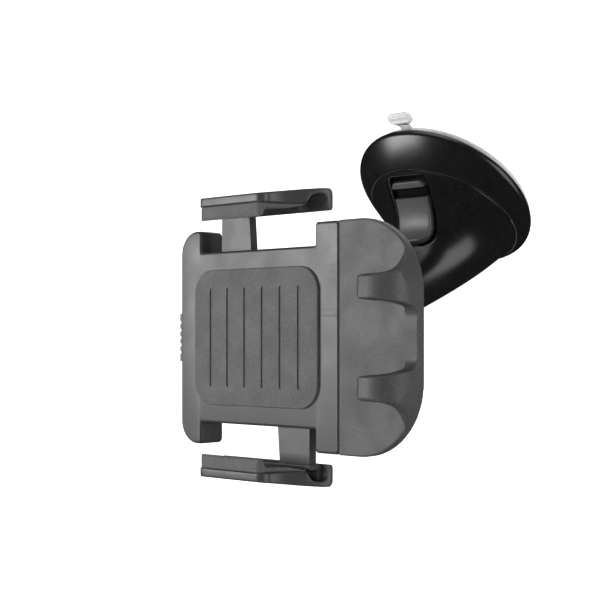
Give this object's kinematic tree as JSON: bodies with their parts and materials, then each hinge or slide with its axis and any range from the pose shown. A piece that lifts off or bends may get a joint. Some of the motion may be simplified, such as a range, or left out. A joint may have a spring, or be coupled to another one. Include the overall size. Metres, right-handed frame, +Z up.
{
  "type": "car phone mount",
  "caption": "Windscreen phone mount: suction base with lever, flared arm, ball joint with locking collar, and a cradle with two side clamps and a two-fingered foot",
  "frame": {"origin": "the middle of the suction pad's face, where the mount meets the windscreen", "axes": "+X runs along the held phone towards the foot, +Y away from the driver, +Z up; the phone faces -Y"},
  "size_m": [0.1061, 0.1367, 0.1258],
  "materials": {
    "gloss_shell": "piano black injection-moulded ABS",
    "satin_shell": "satin black moulded ABS",
    "satin_lever": "satin black moulded acetal",
    "matt_foot": "matt fine-grain black moulded nylon",
    "inner_plastic": "plain black moulded acetal",
    "gear_plastic": "natural white acetal",
    "pad_rubber": "matt moulded silicone rubber",
    "clear_pad": "milky translucent soft polyurethane",
    "steel": "zinc-plated steel"
  },
  "bodies": {
    "base": {"suction_pad": "clear_pad", "base_dome": "gloss_shell", "arm_housing": "gloss_shell", "inner_chassis": "inner_plastic", "base_screws": "steel", "lever_pin": "steel", "ball_stud": "steel", "stud_nut": "steel"},
    "lever": {"suction_lever": "satin_lever"},
    "plunger": {"suction_plunger": "steel", "plunger_spring": "steel"},
    "liner": {"ball_liner": "inner_plastic"},
    "cup": {"socket_cup": "inner_plastic"},
    "collar": {"locking_collar": "satin_shell"},
    "cradle": {"cradle_front_cover": "satin_shell", "cradle_back_cover": "satin_shell", "cradle_pad": "pad_rubber", "cradle_screws": "steel", "gear_pin": "steel", "upper_opening_spring": "steel", "lower_opening_spring": "steel"},
    "pinion": {"clamp_pinion": "gear_plastic"},
    "upper_clamp": {"upper_clamp_arm": "satin_shell", "upper_clamp_pad": "pad_rubber"},
    "lower_clamp": {"lower_clamp_arm": "satin_shell", "lower_clamp_pad": "pad_rubber"},
    "button": {"release_button": "satin_lever", "button_spring": "steel"},
    "foot": {"foot_bracket": "matt_foot", "finger_pads": "pad_rubber"}
  },
  "joints": [
    {"name": "lever_hinge", "type": "hinge", "parent": "base", "child": "lever", "pos_m": [0, -0.01609, -0.01681], "axis": [1, 0, 0], "range_deg": [0, 75]},
    {"name": "plunger_slide", "type": "slide", "parent": "base", "child": "plunger", "axis": [0, 0.6334, 0.7738], "range_m": [0, 0.00243]},
    {"name": "ball_yaw", "type": "hinge", "parent": "base", "child": "liner", "pos_m": [0, -0.0766, -0.0547], "axis": [0, 0, 1], "range_deg": [-15, 15]},
    {"name": "ball_nod", "type": "hinge", "parent": "liner", "child": "cup", "pos_m": [0, -0.0766, -0.0547], "axis": [1, 0, 0], "range_deg": [-20, 40]},
    {"name": "collar_turn", "type": "hinge", "parent": "cup", "child": "collar", "pos_m": [0, -0.0766, -0.0547], "axis": [0, 1, 0], "range_deg": [0, 270]},
    {"name": "cradle_turn", "type": "hinge", "parent": "cup", "child": "cradle", "pos_m": [0, -0.0766, -0.0547], "axis": [0, 1, 0], "range_deg": [-90, 90]},
    {"name": "clamp_close", "type": "slide", "parent": "cradle", "child": "upper_clamp", "axis": [0, 0, -1], "range_m": [-0.003, 0.011], "deforming": ["upper_opening_spring"]},
    {"name": "lower_clamp_close", "type": "slide", "parent": "cradle", "child": "lower_clamp", "axis": [0, 0, 1], "range_m": [-0.003, 0.011], "deforming": ["lower_opening_spring"]},
    {"name": "pinion_spin", "type": "hinge", "parent": "cradle", "child": "pinion", "pos_m": [0, -0.0936, -0.0547], "axis": [0, 1, 0], "range_deg": [-106, 30]},
    {"name": "button_press", "type": "slide", "parent": "cradle", "child": "button", "axis": [1, 0, 0], "range_m": [0, 0.0024], "stiffness_N_per_m": 400},
    {"name": "foot_slide", "type": "slide", "parent": "cradle", "child": "foot", "axis": [1, 0, 0], "range_m": [0, 0.01]}
  ],
  "couplings": [
    {"joint": "lever_hinge", "follows": "plunger_slide", "rad_per_m": 537.63},
    {"joint": "lower_clamp_close", "follows": "clamp_close", "ratio": 1},
    {"joint": "pinion_spin", "follows": "clamp_close", "rad_per_m": -166.67}
  ]
}
